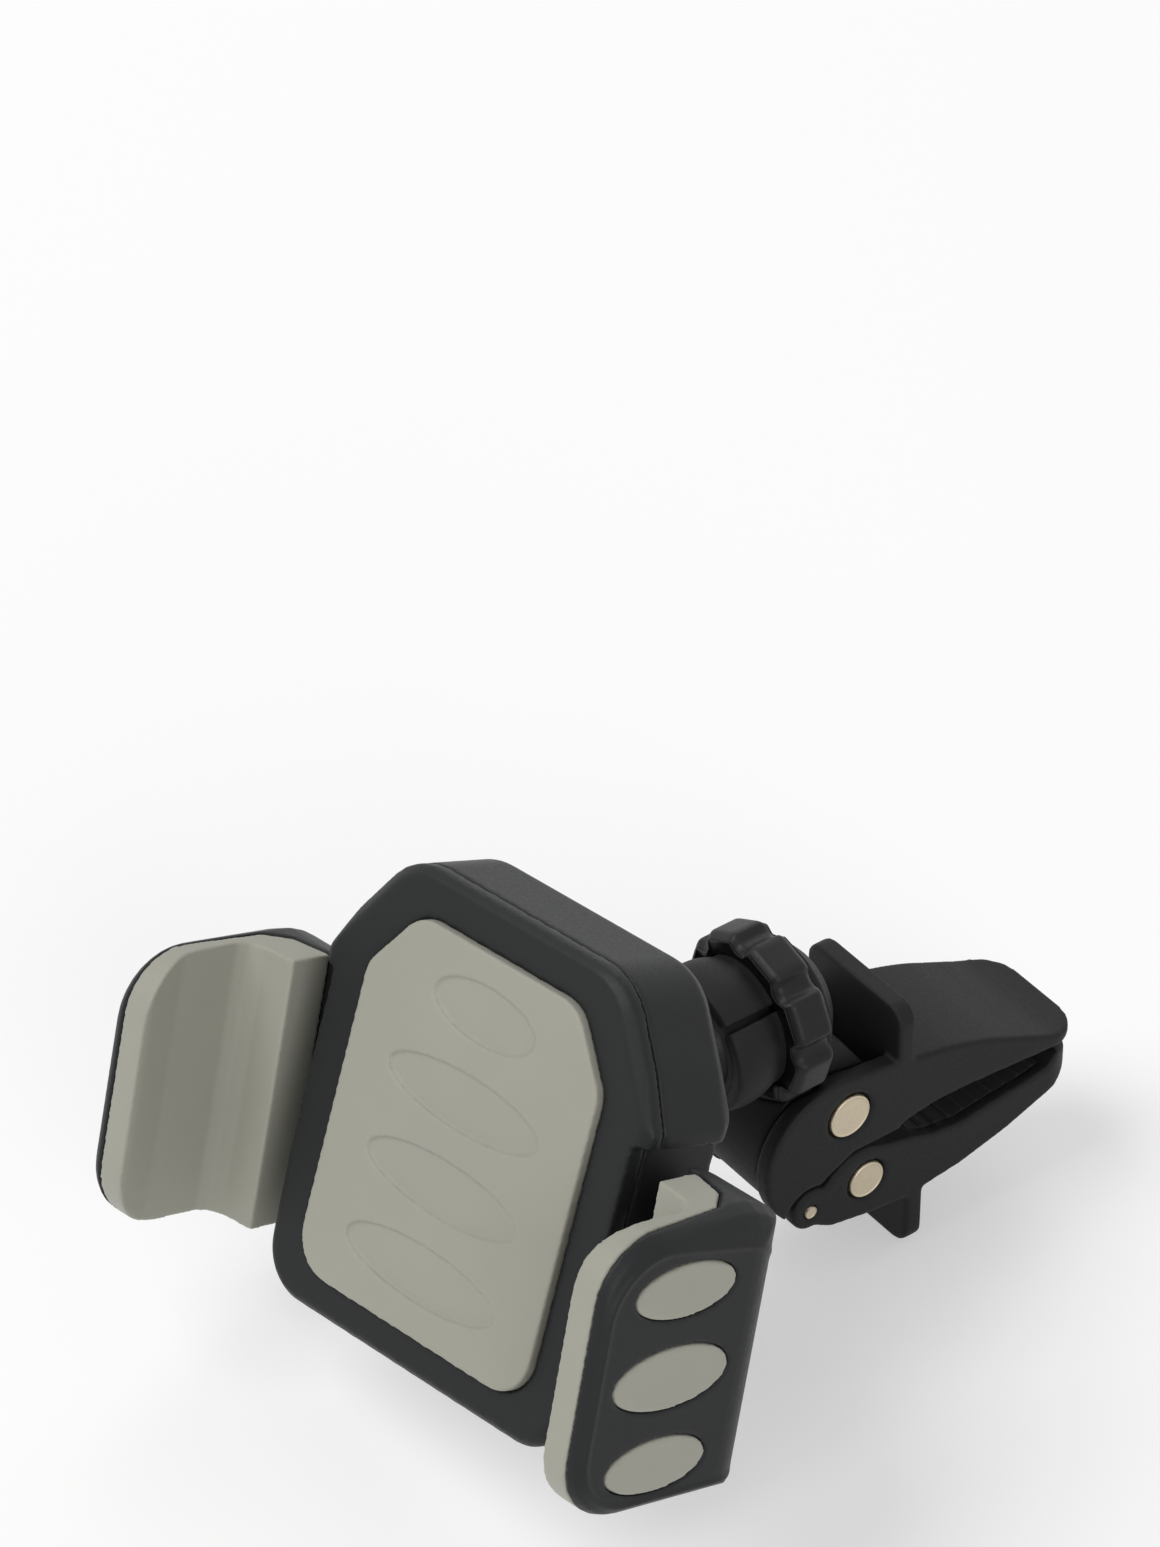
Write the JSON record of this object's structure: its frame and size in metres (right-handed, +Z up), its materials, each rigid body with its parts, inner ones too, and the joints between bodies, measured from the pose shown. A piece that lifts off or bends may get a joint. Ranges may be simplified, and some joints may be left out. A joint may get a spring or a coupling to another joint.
{
  "type": "air vent phone holder",
  "caption": "Car air-vent phone holder: a scissor clip with rubber-lined jaws, a ball joint with a lobed grip ring, and a cradle whose two padded jaws are geared together.",
  "frame": {"origin": "on the blade slot of the clip, midway across its width and 10 mm in from the tips of its lower jaw's rubber, where a vent blade is gripped", "axes": "+X along the clip's rivets to the right seen from the cradle's side, +Y into the vent, +Z up, away from the lower jaw"},
  "size_m": [0.0832, 0.1069, 0.0679],
  "materials": {
    "charcoal_shell": "satin",
    "charcoal_clip": "satin",
    "grey_silicone": "matt",
    "black_rubber": "matt",
    "rivet_metal": "satin",
    "steel": "satin",
    "gear_plastic": "satin"
  },
  "bodies": {
    "clip": {"clip_base": "charcoal_clip", "upper_jaw": "charcoal_clip", "upper_grip": "black_rubber", "base_rivet": "rivet_metal", "hinge_pin": "rivet_metal"},
    "lower_jaw": {"lower_jaw": "charcoal_clip", "lower_grip": "black_rubber", "jaw_rivet": "rivet_metal", "clip_spring": "steel"},
    "collar": {"grip_ring": "charcoal_clip"},
    "liner": {"ball_liner": "black_rubber"},
    "ball": {"ball_stud": "charcoal_clip", "stud_washer": "steel", "stud_nut": "steel"},
    "cradle": {"rear_cover": "charcoal_shell", "front_cover": "charcoal_shell", "rest_pad": "grey_silicone", "cover_screws": "steel", "pinion_washer": "steel"},
    "pinion": {"pinion": "gear_plastic"},
    "right_arm": {"right_rack": "gear_plastic", "right_jaw": "charcoal_shell", "right_pad": "grey_silicone", "right_screw": "steel"},
    "left_arm": {"left_rack": "gear_plastic", "left_jaw": "charcoal_shell", "left_pad": "grey_silicone", "left_screw": "steel"}
  },
  "joints": [
    {"name": "jaw_open", "type": "hinge", "parent": "clip", "child": "lower_jaw", "pos_m": [0, -0.02585, -0.00556], "axis": [-1, 0, 0], "range_deg": [0, 20], "stiffness_Nm_per_rad": 0.6, "springref_deg": -20.05},
    {"name": "ring_turn", "type": "hinge", "parent": "clip", "child": "collar", "pos_m": [0, -0.027, 0.019], "axis": [0, -1, 0], "range_deg": [0, 330]},
    {"name": "ball_swing", "type": "hinge", "parent": "clip", "child": "liner", "pos_m": [0, -0.034, 0.019], "axis": [0, 1, 0], "continuous": true},
    {"name": "ball_tilt", "type": "hinge", "parent": "liner", "child": "ball", "pos_m": [0, -0.034, 0.019], "axis": [0.9973, 0, -0.0732], "range_deg": [-8, 44]},
    {"name": "cradle_turn", "type": "hinge", "parent": "ball", "child": "cradle", "pos_m": [0, -0.034, 0.019], "axis": [0.0301, -0.9116, 0.4099], "continuous": true},
    {"name": "right_slide", "type": "slide", "parent": "cradle", "child": "right_arm", "axis": [0.9884, 0.0882, 0.1236], "range_m": [-0.003, 0.012]},
    {"name": "left_slide", "type": "slide", "parent": "cradle", "child": "left_arm", "axis": [-0.9884, -0.0882, -0.1236], "range_m": [-0.003, 0.012]},
    {"name": "pinion_spin", "type": "hinge", "parent": "cradle", "child": "pinion", "pos_m": [0.00349, -0.0645, 0.01287], "axis": [-0.0301, 0.9116, -0.4099], "range_deg": [-30, 116]}
  ],
  "couplings": [
    {"joint": "left_slide", "follows": "right_slide", "ratio": 1},
    {"joint": "pinion_spin", "follows": "right_slide", "rad_per_m": 166.67}
  ]
}
